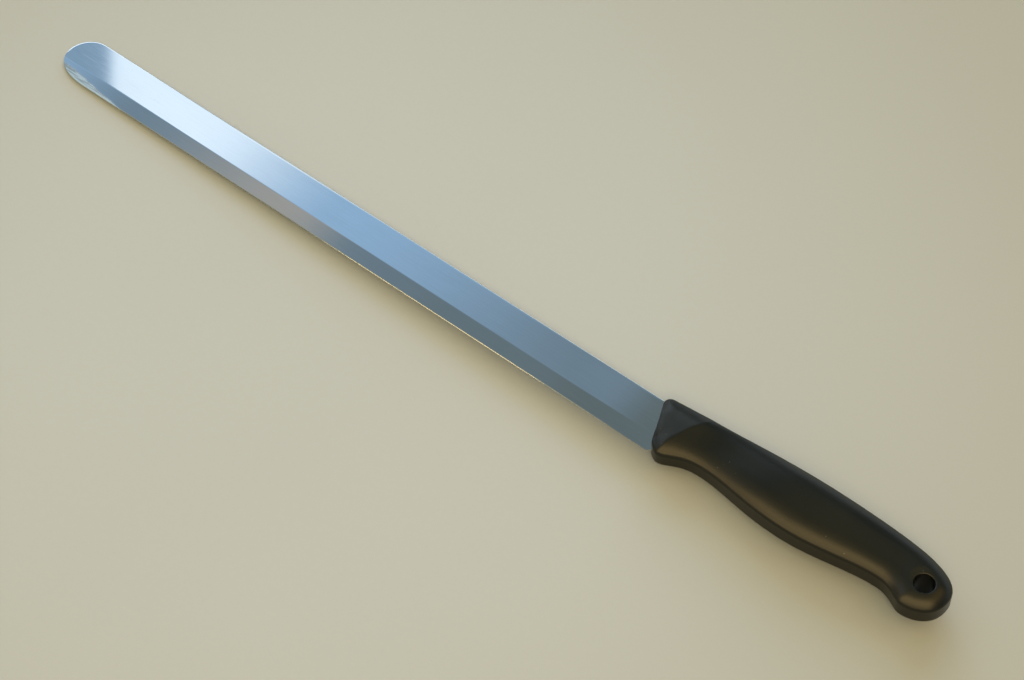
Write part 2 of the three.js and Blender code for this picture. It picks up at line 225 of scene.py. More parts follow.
class Signal:
    """A shader socket to reckon with: each operator adds the Math node that does the sum."""

    def __init__(self, socket):
        self.socket = socket

    @staticmethod
    def node(tree, kind, settings=None, sockets=None):
        """Adds a node, its settings first and then the values or links of its sockets."""
        made = tree.nodes.new(kind)
        for name, value in (settings or {}).items():
            setattr(made, name, value)
        for name, value in (sockets or {}).items():
            socket = made.inputs[name]
            if isinstance(value, Signal):
                tree.links.new(value.socket, socket)
            elif socket.type == "RGBA":
                socket.default_value = (*value, 1)
            else:
                socket.default_value = value
        return Signal(made.outputs[0]) if made.outputs else None

    def output(self, name):
        """Another output of the same node."""
        return Signal(self.socket.node.outputs[name])

    def math(self, operation, first, second):
        """A sum of two values, each a signal or a plain number."""
        settings = {"operation": operation}
        return self.node(self.socket.id_data, "ShaderNodeMath", settings, {0: first, 1: second})

    def __add__(self, other):
        return self.math("ADD", self, other)

    def __sub__(self, other):
        return self.math("SUBTRACT", self, other)

    def __rsub__(self, other):
        return self.math("SUBTRACT", other, self)

    def __mul__(self, other):
        return self.math("MULTIPLY", self, other)

    def __truediv__(self, other):
        return self.math("DIVIDE", self, other)

    def __rtruediv__(self, other):
        return self.math("DIVIDE", other, self)

    __radd__ = __add__
    __rmul__ = __mul__

    def at_least(self, other):
        """The larger of this and another value."""
        return self.math("MAXIMUM", self, other)

    def ramp(self, low, high):
        """Goes smoothly from 0 at low to 1 at high, which may be the smaller of the two."""
        settings = {"interpolation_type": "SMOOTHSTEP"}
        sockets = {"Value": self, "From Min": low, "From Max": high}
        return self.node(self.socket.id_data, "ShaderNodeMapRange", settings, sockets)

    def band(self, start, full, fading, end):
        """Rises from 0 at start to 1 at full, and falls from 1 at fading to 0 at end."""
        return self.ramp(start, full) * self.ramp(end, fading)

    def mix(self, first, second):
        """A colour between two colours, with this value as the share of the second."""
        settings = {"data_type": "RGBA"}
        mixed = self.node(self.socket.id_data, "ShaderNodeMix", settings, {0: self, 6: first, 7: second})
        return mixed.output(2)


def shade(tint, factor=1.0):
    """A colour made lighter or darker, as plain numbers."""
    return tuple(factor * part for part in tint)


def noise(place, scale, detail=2.0, roughness=0.5):
    """Noise from 0 to 1 that is fixed to the object, with a scale for each axis."""
    tree = place.socket.id_data
    stretched = Signal.node(tree, "ShaderNodeVectorMath", {"operation": "MULTIPLY"}, {0: place, 1: scale})
    sockets = {"Vector": stretched, "Scale": 1.0, "Detail": detail, "Roughness": roughness}
    return Signal.node(tree, "ShaderNodeTexNoise", {"noise_dimensions": "3D"}, sockets)


def new_material(name):
    """A material with an empty node tree, and the object coordinates in it."""
    material = bpy.data.materials.new(name)
    material.use_nodes = True
    material.node_tree.nodes.clear()
    place = Signal.node(material.node_tree, "ShaderNodeTexCoord").output("Object")
    return material, material.node_tree, place


def finish_material(tree, sockets):
    """Ends a material with its Principled shader."""
    surface = Signal.node(tree, "ShaderNodeBsdfPrincipled", {}, sockets)
    Signal.node(tree, "ShaderNodeOutputMaterial", {}, {"Surface": surface})


def bump(height, distance):
    """A normal from a height."""
    sockets = {"Strength": 1.0, "Distance": distance, "Height": height}
    return Signal.node(height.socket.id_data, "ShaderNodeBump", {}, sockets)


# Finishes

# Depth of the relief in each surface, in metres
STEEL_GRAIN = 2.5e-7
PLASTIC_TEXTURE = 2.4e-5
TABLE_TEXTURE = 2e-5

# The painted highlight along the spine: its fading edge below the spine, and where it starts behind the tip
SPINE_HIGHLIGHT_EDGE = (0.36 * MM, 0.28 * MM)
SPINE_HIGHLIGHT_START = (70 * MM, 120 * MM)

# The rough facet at the tip: how far its upper line wanders, how soft it is, and its pale lower rim
FACET_WANDER = 1.6 * MM
FACET_SOFT = 0.9 * MM
FACET_RIM = (1.2 * MM, 0.5 * MM)


def steel_material(finish, blade):
    """Fine ground steel: grain along the blade, a few longer scratches, slow smudges and a painted highlight
    along the spine, and a rough facet with pale streaks on the lower side of the tip."""
    material, tree, place = new_material("ground_steel")
    heel = placement(blade).translation
    tip = heel.x - blade.length
    x = Signal.node(tree, "ShaderNodeSeparateXYZ", {}, {"Vector": place})
    rise = x.output("Y") - heel.y + blade.width / 2

    uneven = noise(place, (160, 700, 700), 3)
    facet_end = tip + blade.tip_run
    facet_width = blade.tip_grind * x.ramp(facet_end, tip) + (uneven - 0.5) * FACET_WANDER
    facet = (facet_width - rise).ramp(0.0, FACET_SOFT) * x.ramp(facet_end, tip + 0.9 * blade.tip_run)
    streak = noise(place, (90, 1500, 1500), 3, 0.6).ramp(0.42, 0.62).at_least(rise.ramp(*FACET_RIM))
    facet_tone = streak.mix(shade(finish.ground, 0.75), shade(finish.ground, 1.3))

    grain = noise(place, (45, 2600, 2600), 4, 0.6)
    smudge = noise(place, (30, 90, 90), 3)
    scratch = noise(place, (9, 1400, 1400), 2).ramp(0.66, 0.74)
    tone = (grain * 0.5 + smudge * 0.5).ramp(0.3, 0.7).mix(shade(finish.steel, 0.93), shade(finish.steel))
    # Painted highlight: a thin line along the spine is given brighter steel than the flat.
    line = [blade.width - below for below in SPINE_HIGHLIGHT_EDGE]
    spine_highlight = rise.ramp(*line) * x.ramp(tip + SPINE_HIGHLIGHT_START[0], tip + SPINE_HIGHLIGHT_START[1])
    tone = spine_highlight.mix(tone, shade(finish.steel, 1.55))
    rough = finish.steel_rough - 0.02 + grain * 0.03 + smudge * 0.02 + scratch * 0.05
    finish_material(tree, {
        "Base Color": facet.mix(tone, facet_tone),
        "Metallic": 1 - 0.5 * facet,
        "Roughness": rough + facet * (finish.ground_rough - finish.steel_rough),
        "Normal": bump(grain + scratch * 0.5, STEEL_GRAIN),
    })
    return material


def plastic_material(finish):
    """Black satin plastic: a fine moulded texture, uneven gloss and a few specks of dust."""
    material, tree, place = new_material("black_plastic")
    texture = noise(place, (1900, 1900, 1900), 3, 0.6)
    cloud = noise(place, (70, 70, 70), 3)
    speck = noise(place, (800, 800, 800), 1).ramp(0.765, 0.79) * cloud.ramp(0.45, 0.6)
    tone = cloud.ramp(0.3, 0.7).mix(shade(finish.plastic, 0.85), shade(finish.plastic, 1.15))
    finish_material(tree, {
        "Base Color": speck.mix(tone, shade(finish.dust)),
        "Roughness": finish.plastic_rough - 0.06 + cloud * 0.07 + texture * 0.05,
        "Specular IOR Level": 0.35,
        "Specular Tint": (1.0, 0.97, 0.86),
        "Normal": bump(texture, PLASTIC_TEXTURE),
    })
    return material


# Curves

# How far a rounded corner is drawn towards its point
CORNER_PULL = 0.5


def smooth(value, low, high):
    """Rises smoothly from 0 at low to 1 at high."""
    t = np.clip((value - low) / (high - low), 0, 1)
    return t * t * (3 - 2 * t)


def unit(vector):
    """A vector of length 1 the same way."""
    return vector / np.linalg.norm(vector)


def cubic(a, b, c, d, steps=160):
    """Points along a cubic curve with its two ends and two guides."""
    t = np.linspace(0, 1, steps + 1)[:, None]
    return a * (1 - t) ** 3 + 3 * b * t * (1 - t) ** 2 + 3 * c * t ** 2 * (1 - t) + d * t ** 3


def level_curve(start, end, shares):
    """A curve that is level at both ends, for a share of the way out of each."""
    run = np.array((end[0] - start[0], 0))
    return cubic(start, start + shares[0] * run, end - shares[1] * run, end)


def corner_curve(start, corner, end):
    """A rounded corner that leaves both of its sides smoothly."""
    return cubic(start, start + (corner - start) * CORNER_PULL, end + (corner - end) * CORNER_PULL, end)


def join(*curves):
    """One curve out of several, each of which starts where the one before it ends."""
    return np.vstack([curves[0]] + [curve[1:] for curve in curves[1:]])


def along(curve, shares):
    """Points of a curve at shares of its length."""
    way = np.concatenate(((0,), np.cumsum(np.linalg.norm(np.diff(curve, axis=0), axis=1))))
    return np.column_stack([np.interp(shares * way[-1], way, column) for column in curve.T])


def outline_distance(points, outline):
    """Distance of each point to a closed outline."""
    ends = np.roll(outline, -1, axis=0)
    way = ends - outline
    from_start = points[:, None, :] - outline[None, :, :]
    reach = (from_start * way).sum(2) / (way * way).sum(1)
    gap = from_start - np.clip(reach, 0, 1)[:, :, None] * way
    return np.sqrt((gap * gap).sum(2)).min(1)


# Blade

# Below 1 the lower side of the round tip is fuller than an ellipse
TIP_FULLNESS = 0.83
# Share of the spine's easing that is left at the nose, and how far behind the nose it is whole
NOSE_EASE = 0.35
NOSE_RUN = 90 * MM
# Ahead of the heel, the honed facet starts at the first and is whole from the second
HONED_START = (20 * MM, 50 * MM)
# Rings of faces inside the outline, which carry the honed facet and the eased spine
FIRST_RING = 0.08 * MM
INNER_RINGS = (0.12 * MM, 0.2 * MM, 0.6 * MM)
# Cuts across the blade, from the first to the last place ahead of the heel
BLADE_CUTS = np.linspace(-250, -10, 13) * MM
# How far the cutter for the socket starts ahead of the handle
SOCKET_LEAD = 12 * MM


def front_point(handle, rise):
    """Point of the handle's straight front face at a rise."""
    return np.array((-handle.front_reach - handle.front_slope * rise, rise))


def tang_stations(blade, handle):
    """Where the outline of the neck and tang turns: place along the knife, lower and upper rise."""
    half = blade.width / 2
    neck_low = blade.heel_step - half
    neck_high = half - blade.spine_step
    entry = front_point(handle, half)[0] + blade.spine_run
    top = blade.tang_offset + blade.tang_width / 2
    bottom = blade.tang_offset - blade.tang_width / 2
    stations = [
        (entry, -half, half),
        (entry + blade.step_run, -half, neck_high),
        (0, -half, neck_high),
        (blade.step_run, neck_low, neck_high),
        (blade.neck, neck_low, neck_high),
        (blade.neck + blade.step_run, bottom, top),
    ]
    deep = blade.notch_depth
    for start in (blade.first_notch, blade.first_notch + blade.notch_pitch):
        stations.append((start, bottom, top))
        stations.append((start + blade.step_run, bottom + deep, top - deep))
        stations.append((start + blade.notch - blade.step_run, bottom + deep, top - deep))
        stations.append((start + blade.notch, bottom, top))
    stations.append((blade.tang - deep, bottom, top))
    stations.append((blade.tang, bottom + deep, top - deep))
    return stations


def round_outline(stations):
    """The outline round stations: back along their lower side, then forward along the upper."""
    lower = [(x, low) for x, low, high in stations]
    upper = [(x, high) for x, low, high in stations]
    return np.array(lower + upper[::-1])


def tip_outline(blade):
    """The outline of the round tip, from the spine round the nose to the cutting edge."""
    half = blade.width / 2
    turns = np.linspace(0, math.pi / 2, 37)
    over = np.column_stack((half - blade.length - half * np.sin(turns), half * np.cos(turns)))
    under_x = blade.tip_low * (1 - np.cos(turns) ** TIP_FULLNESS) - blade.length
    under_y = -half * np.sin(turns) ** TIP_FULLNESS
    return join(over, np.column_stack((under_x, under_y)))


def plate(name, outline, rings, cuts, half_thickness):
    """A closed thin plate. The outline is filled, ringed inwards and cut straight across, and then
    both of its sides are raised to the half thickness of each place."""
    mesh = bmesh.new()
    face = mesh.faces.new([mesh.verts.new((x, y, 0)) for x, y in outline])
    for width in rings:
        bmesh.ops.inset_region(mesh, faces=[face], thickness=width, use_boundary=True, use_even_offset=True)
    for point, normal in cuts:
        geometry = mesh.verts[:] + mesh.edges[:] + mesh.faces[:]
        bmesh.ops.bisect_plane(mesh, geom=geometry, dist=1e-7, plane_co=point, plane_no=normal)
    upper = mesh.verts[:]
    rim = [edge.link_loops[0] for edge in mesh.edges if edge.is_boundary]
    rim = [(loop.vert, loop.link_loop_next.vert) for loop in rim]
    for vert, half in zip(upper, half_thickness(np.array([vert.co.to_2d() for vert in upper]))):
        vert.co.z = half
    lower = {vert: mesh.verts.new((vert.co.x, vert.co.y, -vert.co.z)) for vert in upper}
    for side in mesh.faces[:]:
        mesh.faces.new([lower[vert] for vert in reversed(side.verts)])
    for first, second in rim:
        mesh.faces.new((second, first, lower[first], lower[second]))
    bmesh.ops.recalc_face_normals(mesh, faces=mesh.faces[:])
    made = bpy.data.meshes.new(name)
    mesh.to_mesh(made)
    mesh.free()
    return made


def level_cut(rise):
    """A cut along the knife at a rise."""
    return (0, rise, 0), (0, 1, 0)


def cross_cut(place):
    """A cut across the knife at a place along it."""
    return (place, 0, 0), (1, 0, 0)


def bevel_height(rise, blade):
    """Half thickness of the flat and of the ground strip, softened where they meet."""
    flat = blade.thickness / 2
    slope = (flat - blade.bevel_edge / 2) / blade.bevel
    above = rise - (blade.bevel - blade.width / 2)
    soft = np.clip(blade.grind_ease - above, 0, None)
    ease = slope * soft ** 2 / (4 * blade.grind_ease)
    return flat - np.where(above < -blade.grind_ease, -slope * above, ease)


def blade_mesh(blade, handle):
    """The blade with its round tip, ground strip, honed edge, eased spine and tang."""
    half = blade.width / 2
    nose = half - blade.length
    outline = np.vstack((tip_outline(blade), round_outline(tang_stations(blade, handle))))

    def height(points):
        x, y = points.T
        gap = outline_distance(points, outline)
        ease = blade.spine_ease * (NOSE_EASE + (1 - NOSE_EASE) * smooth(x, nose, nose + NOSE_RUN))
        low = np.clip(ease - gap, 0, ease)
        rim = blade.thickness / 2 - ease + np.sqrt(ease ** 2 - low ** 2)
        body = bevel_height(y, blade)
        facet = blade.keen / 2 + (body - blade.keen / 2) * np.clip(gap / blade.honed, 0, 1)
        honed = smooth(-y, 0, half / 2) * smooth(-x, *HONED_START)
        return np.minimum(rim, body + (facet - body) * honed)

    grind = blade.bevel - half
    rings = [FIRST_RING, blade.honed - FIRST_RING, *INNER_RINGS]
    cuts = [level_cut(rise) for rise in (grind - blade.grind_ease, grind, grind + blade.grind_ease)]
    cuts += [cross_cut(place) for place in (*np.linspace(nose, nose + blade.tip_run, 7), *BLADE_CUTS)]
    return plate("blade", outline, rings, cuts, height)


def socket_mesh(blade, handle):
    """What the tang takes out of the handle: the tang with a clearance all round."""
    half = blade.width / 2
    stations = tang_stations(blade, handle)
    stations = [(stations[0][0] - SOCKET_LEAD, -half, half)] + stations
    gap = blade.clearance
    widths = [high - low for x, low, high in stations]
    grown = []
    for i, (x, low, high) in enumerate(stations):
        narrowing = widths[max(i - 1, 0)] - widths[min(i + 1, len(widths) - 1)]
        grown.append((x + gap * np.sign(narrowing), low - gap, high + gap))

    def height(points):
        return np.clip(bevel_height(np.maximum(points[:, 1], -half), blade), 0, None) + gap

    cuts = [level_cut(blade.bevel - half), level_cut(-half)]
    return plate("socket", round_outline(grown), [], cuts, height)


# Handle

# How far the outline runs level out of one turning point and into the next, as shares of the way
GUARD_TO_FINGER = (0.24, 0.62)
FINGER_TO_BELLY = (0.29, 0.47)
BELLY_TO_REAR = (0.37, 0.29)
REAR_TO_BEAK = (0.52, 0.26)
BEAK_TO_BUTT = 0.32
CREASE_TO_CREST = (0.26, 0.525)
CREST_TO_BUTT = 0.71
# Makes t * (1 - t) ** 2 come to 1 at its highest
DIP_PEAK = 6.75
# The top's fall to the rim goes by this power of the way, over this share of a rib's half length
DOME_POWER = 3
DOME_SHARE = 0.9
# How far ahead of the front face the top is taken to run on
FRONT_CLEAR = 60 * MM
# Points across the handle's top, and steps round its edge
COLUMNS = 41
EDGE_STEPS = 9


class HandleOutline:
    """The outline of the handle seen from its side, as curves between its turning points."""

    def __init__(self, handle, blade):
        half = blade.width / 2
        rise = half + handle.back_step
        corner = front_point(handle, rise)
        self.crease = np.array((handle.crease_back, rise + handle.crease_step))
        self.guard = np.array((handle.guard_back, -half - handle.guard_drop))
        self.butt = np.array((corner[0] + handle.length, handle.butt_rise))
        self.upright = np.array((0, handle.butt_upright))
        turns = (handle.finger, handle.belly, handle.crest, handle.rear, handle.beak)
        finger, belly, crest, self.rear, beak = (np.array(place) for place in turns)
        self.low = join(
            level_curve(self.guard, finger, GUARD_TO_FINGER),
            level_curve(finger, belly, FINGER_TO_BELLY),
            level_curve(belly, self.rear, BELLY_TO_REAR),
        )
        self.beak = join(
            level_curve(self.rear, beak, REAR_TO_BEAK),
            self.butt_curve(beak, BEAK_TO_BUTT, -self.upright),
        )
        back = unit(self.crease - corner)
        run = crest[0] - self.crease[0]
        leave = self.crease + back * CREASE_TO_CREST[0] * run
        arrive = crest - np.array((CREASE_TO_CREST[1] * run, 0))
        self.high = join(
            cubic(self.crease, leave, arrive, crest),
            self.butt_curve(crest, CREST_TO_BUTT, self.upright),
        )
        lean = unit(np.array((-handle.front_slope, 1)))
        corner_start = corner + back * handle.corner
        corner_end = corner - lean * handle.corner
        guard_turn = front_point(handle, self.guard[1] + handle.corner)
        self.guard_corner = corner_curve(guard_turn, front_point(handle, self.guard[1]), self.guard)
        self.back_corner = join(
            corner_curve(corner_end, corner, corner_start),
            np.vstack((corner_start, self.crease)),
        )
        bow = np.array((-lean[1], lean[0])) * handle.front_bow
        t = np.linspace(0, 1, 81)[:, None]
        self.face = guard_turn + (corner_end - guard_turn) * t + bow * 4 * t * (1 - t)

    def butt_curve(self, start, out, upright):
        """From a level start to the upright end of the butt."""
        run = np.array((self.butt[0] - start[0], 0))
        return cubic(start, start + out * run, self.butt + upright, self.butt)


def handle_ribs(outline, handle):
    """Ribs across the handle from the front face to the butt: both ends of each, and its thickness."""
    front_way = np.concatenate((np.linspace(0, 0.9, 22), np.linspace(0.92, 1, 6)))
    reach = outline.rear[0] - outline.guard[0]
    body_way = np.concatenate((np.linspace(0.2, 1, 5) * MM, np.linspace(2 * MM, reach, 84)))
    butt_way = np.linspace(0, 1, 57)[1:]
    slant = outline.crease[0] - outline.guard[0]
    body_low = outline.guard[0] + body_way
    body_high = body_low + slant
    last_high = np.array((body_high[-1], np.interp(body_high[-1], *outline.high.T)))
    rest = np.vstack((last_high, outline.high[outline.high[:, 0] > last_high[0]]))
    low = np.vstack((
        along(outline.guard_corner, front_way),
        np.column_stack((body_low, np.interp(body_low, *outline.low.T))),
        along(outline.beak, butt_way),
    ))
    high = np.vstack((
        along(outline.back_corner, front_way),
        np.column_stack((body_high, np.interp(body_high, *outline.high.T))),
        along(rest, butt_way),
    ))
    ahead = np.concatenate(((1 - front_way) * handle.facet, -body_way, np.full(len(butt_way), -reach)))
    body_share = np.clip(-ahead / reach, 0, 1)
    to_front = (ahead + np.sqrt(ahead ** 2 + handle.crease_ease ** 2)) / 2 / handle.facet
    to_front = np.clip(to_front, 0, 1)

    def thick(first, middle, last, front):
        """A thickness along the handle, from its sizes at the crease, palm, butt and front."""
        rising = smooth(body_share, 0, handle.middle)
        falling = smooth(body_share, handle.middle, 1)
        return first + (middle - first) * rising + (last - middle) * falling + (front - first) * to_front

    shoulders = [
        thick(handle.crease_shoulder, handle.middle_shoulder, handle.butt_shoulder, handle.front_guard),
        thick(handle.crease_high, handle.middle_high, handle.butt_high, handle.front_back),
    ]
    shoulders[1][-len(butt_way):] += (handle.butt_shoulder - handle.butt_high) * butt_way
    crown = thick(handle.crease_crown, handle.middle_crown, handle.butt_crown, handle.front_crown)
    behind = np.clip(-ahead / handle.finger_dip_run, 0, 1)
    crown -= handle.finger_dip * DIP_PEAK * behind * (1 - behind) ** 2
    return SimpleNamespace(
        low=low,
        high=high,
        to_front=to_front,
        in_butt=low[:, 0] > outline.rear[0] + 1e-6,
        shoulders=shoulders,
        bulge=crown - (shoulders[0] + shoulders[1]) / 2,
        rounds=thick(handle.crease_round, handle.middle_round, handle.butt_round, handle.front_round),
        bow=handle.crease_bow * np.exp(-(ahead / handle.facet) ** 2),
        facet_lean=math.atan2(handle.crease_crown - handle.front_crown, handle.facet),
    )


def handle_rim(outline, ribs):
    """The rim along the belly, round the butt, along the back and down the front face. Each point has
    its way inward, the radius of its rounded edge and the lean of the top beside it."""
    back = slice(len(ribs.low) - 2, None, -1)
    face = along(outline.face, np.linspace(0, 1, COLUMNS))[-2:0:-1]
    span = np.linalg.norm(ribs.high - ribs.low, axis=1) / 2
    span[ribs.in_butt] = span[~ribs.in_butt][-1]
    lean = np.arctan2(DOME_POWER * ribs.bulge, DOME_SHARE * span)
    points = np.vstack((ribs.low, ribs.high[back], face))
    tangent = np.roll(points, -1, axis=0) - np.roll(points, 1, axis=0)
    tangent /= np.linalg.norm(tangent, axis=1)[:, None]
    return SimpleNamespace(
        points=points,
        inward=np.column_stack((-tangent[:, 1], tangent[:, 0])),
        radius=np.concatenate((ribs.rounds, ribs.rounds[back], np.full(len(face), ribs.rounds[0]))),
        lean=np.concatenate((lean, lean[back], np.full(len(face), ribs.facet_lean))),
    )


def handle_top(ribs, rim):
    """A grid over the ribs, inside the rounded edge, and the height of each of its points."""
    rows = len(ribs.low)
    across = np.linspace(0, 1, COLUMNS)
    start = rim.points + rim.inward * (rim.radius * (1 - np.sin(rim.lean)))[:, None]
    low = start[:rows]
    high = np.vstack((start[rows:2 * rows - 1][::-1], start[rows - 1]))
    face = np.vstack((low[0], start[2 * rows - 1:][::-1], high[0]))
    grid = low[:, None] + (high - low)[:, None] * across[None, :, None]
    grid[:, :, 0] -= np.outer(ribs.bow, 4 * across * (1 - across))
    grid += (face - grid[0])[None] * (ribs.to_front ** 2)[:, None, None]

    # The top falls away to the rim with a slope that grows towards it, but not to the front face.
    forward = np.array((FRONT_CLEAR, 0))
    edge = np.vstack((low, high[-2::-1], high[0] - forward, low[0] - forward))
    gap = outline_distance(grid.reshape(-1, 2), edge).reshape(rows, COLUMNS)
    reach = gap.max(axis=1)
    reach[ribs.in_butt] = reach[~ribs.in_butt][-1]
    dome = 1 - (1 - np.clip(gap / reach[:, None], 0, 1)) ** DOME_POWER
    shoulder = np.outer(ribs.shoulders[0], 1 - across) + np.outer(ribs.shoulders[1], across)
    return grid, shoulder + ribs.bulge[:, None] * dome


def mirrored(name, points, faces, seam):
    """A mesh with its mirror image below, joined at the points of the seam."""
    below = []
    lower = {}
    for i, (x, y, z) in enumerate(points):
        lower[i] = i
        if i not in seam:
            lower[i] = len(points) + len(below)
            below.append((x, y, -z))
    turned = [tuple(lower[i] for i in reversed(corners)) for corners in faces]
    made = bpy.data.meshes.new(name)
    made.from_pydata(points + below, [], faces + turned)
    return made


def handle_body(outline, handle):
    """The solid handle: a crowned grid over the ribs, a rounded edge and a wall all round, mirrored."""
    ribs = handle_ribs(outline, handle)
    rim = handle_rim(outline, ribs)
    grid, heights = handle_top(ribs, rim)
    last = len(ribs.low) - 1
    points = [(*grid[i, k], heights[i, k]) for i in range(last) for k in range(COLUMNS)]
    end = len(points)
    points.append((*grid[last, 0], heights[last, 0]))

    def cell(i, k):
        """Number of a grid point. The last rib is a single point."""
        return end if i == last else i * COLUMNS + k

    faces = []
    for i in range(last):
        for k in range(COLUMNS - 1):
            corners = (cell(i, k), cell(i + 1, k), cell(i + 1, k + 1), cell(i, k + 1))
            faces.append(corners if i < last - 1 else corners[:2] + corners[3:])

    # A string of points hangs from each point of the rim, round the edge and down the wall.
    strings = [[cell(i, 0)] for i in range(last + 1)]
    strings += [[cell(i, COLUMNS - 1)] for i in range(last - 1, -1, -1)]
    strings += [[cell(0, k)] for k in range(COLUMNS - 2, 0, -1)]
    for string, at, inward, radius, lean in zip(strings, rim.points, rim.inward, rim.radius, rim.lean):
        wall = points[string[0]][2] - radius * math.cos(lean)
        hung = []
        for step in range(1, EDGE_STEPS + 1):
            slope = (math.pi / 2 - lean) * (1 - step / EDGE_STEPS)
            hung.append((*(at + inward * radius * (1 - math.cos(slope))), wall + radius * math.sin(slope)))
        hung += [(*at, wall / 2), (*at, 0)]
        string += range(len(points), len(points) + len(hung))
        points += hung
    for string, after in zip(strings, strings[1:] + strings[:1]):
        for j in range(len(string) - 1):
            faces.append((string[j], string[j + 1], after[j + 1], after[j]))
    return mirrored("handle", points, faces, {string[-1] for string in strings})


def hole_mesh(outline, handle):
    """What the hanging hole takes out of the handle: a bore that flares to a rounded rim on both sides."""
    ease = handle.hole_ease
    sink = 0.35 * MM
    skirt = 2.2 * MM
    clear = 4 * MM
    sides = 96
    top = handle.butt_crown - sink
    turns = np.linspace(0, math.pi / 2, 9)
    flare = [(handle.hole / 2 + ease * (1 - math.cos(t)), top - ease + ease * math.sin(t)) for t in turns]
    wide = flare[-1][0] + skirt
    profile = flare + [(wide, top + sink), (wide, top + clear)]
    profile = [(radius, -z) for radius, z in reversed(profile)] + profile
    centre = (outline.butt[0] - handle.hole_from_butt, handle.hole_rise)
    points = []
    for radius, z in profile:
        for side in range(sides):
            round_at = 2 * math.pi * side / sides
            x = centre[0] + radius * math.cos(round_at)
            points.append((x, centre[1] + radius * math.sin(round_at), z))
    faces = []
    for row in range(len(profile) - 1):
        for side in range(sides):
            a = row * sides + side
            b = row * sides + (side + 1) % sides
            faces.append((a, b, b + sides, a + sides))
    faces.append(tuple(reversed(range(sides))))
    faces.append(tuple(range(len(points) - sides, len(points))))
    made = bpy.data.meshes.new("hole")
    made.from_pydata(points, [], faces)
    return made


def handle_mesh(handle, blade):
    """The handle with the hanging hole and the tang's socket cut out."""
    outline = HandleOutline(handle, blade)
    solid = add_object("uncut_handle", handle_body(outline, handle))
    made = [solid]
    for mesh in (hole_mesh(outline, handle), socket_mesh(blade, handle)):
        cutter = add_object(mesh.name, mesh)
        cut = solid.modifiers.new(mesh.name, "BOOLEAN")
        cut.object = cutter
        cut.operation = "DIFFERENCE"
        cut.solver = "EXACT"
        made.append(cutter)
    shaped = solid.evaluated_get(bpy.context.evaluated_depsgraph_get())
    result = bpy.data.meshes.new_from_object(shaped)
    for item in made:
        bpy.data.objects.remove(item)
    return result


# Putting pieces in place

# Edges that turn by more than this stay sharp
SHARP = math.radians(35)


def add_object(name, data):
    """A new object in the scene."""
    made = bpy.data.objects.new(name, data)
    bpy.context.collection.objects.link(made)
    return made


def placement(blade):
    """From the drawing to the knife as it lies on the table: the blade's tip down, its heel up."""
    normal = Vector(frame["record"]["mounts"][0]["axis"])
    tilt = math.atan2(-normal.x, normal.z)
    low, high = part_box("blade")
    half = blade.thickness / 2
    heel = Vector((
        low.x + blade.length * math.cos(tilt) + half * math.sin(tilt),
        (low.y + high.y) / 2,
        low.z + blade.length * math.sin(tilt) + half * math.cos(tilt),
    ))
    return Matrix.Translation(heel) @ Matrix.Rotation(-tilt, 4, "Y")


def put(name, mesh, material, node, weight):
    """Makes a piece that stands for a CAD node and rides on the knife's one body."""
    mesh.transform(placement(bpy.context.scene.knife_blade))
    mesh.materials.clear()
    mesh.materials.append(material)
    mesh.shade_smooth()
    mesh.set_sharp_from_angle(angle=SHARP)
    piece = add_object(name, mesh)
    weighted = piece.modifiers.new("face_weighted", "WEIGHTED_NORMAL")
    weighted.keep_sharp = True
    weighted.weight = weight
    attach(piece, "root")
    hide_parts(node)


# Stage

# Middle of each lamp, and its two sides
STRIP_PLACE = (0.22, -0.61, 0.68)
STRIP_SIZE = (1.75, 0.5)
MAIN_PLACE = (1.15, -1.44, 2.2)
MAIN_SIZE = (1.0, 1.0)
FAR_PLACE = (-2.35, 3.5, 1.45)
FAR_SIZE = (4.4, 2.8)
# A painted pool of light on the table: it is palest here, and darkens to its painted shade colour between
# these two distances
LIGHT_POOL_PLACE = (-0.04, -0.05, 0)
LIGHT_POOL_REACH = (0.08, 0.4)
# Half a side of the table top
TABLE_REACH = 4
# Least rise of a direction that the room's light is reckoned with
LEAST_RISE = 0.05


def make_floor(stage):
    """A pale table top, with the faintest unevenness and a painted pool of light: it darkens a little away
    from the knife.
    """
    material, tree, place = new_material("pale_table")
    cloud = noise(place, (7, 7, 7), 3)
    fleck = noise(place, (420, 420, 420), 3)
    tone = (cloud * 0.6 + fleck * 0.4).ramp(0.25, 0.75)
    middle = tone.mix(shade(stage.floor, 0.985), shade(stage.floor, 1.015))
    sockets = {0: place, 1: LIGHT_POOL_PLACE}
    from_light_pool = Signal.node(tree, "ShaderNodeVectorMath", {"operation": "DISTANCE"}, sockets).output("Value")
    finish_material(tree, {
        # Painted shade: the table's colour darkens with the distance from the middle of the painted pool of
        # light.
        "Base Color": from_light_pool.ramp(*LIGHT_POOL_REACH).mix(middle, shade(stage.floor_painted_shade)),
        "Roughness": 0.62 + 0.08 * fleck,
        "Specular IOR Level": 0.2,
        "Normal": bump(fleck, TABLE_TEXTURE),
    })
    mesh = bmesh.new()
    bmesh.ops.create_grid(mesh, x_segments=12, y_segments=12, size=TABLE_REACH)
    made = bpy.data.meshes.new("table_top")
    mesh.to_mesh(made)
    mesh.free()
    made.materials.append(material)
    floor = add_object("table_top", made)


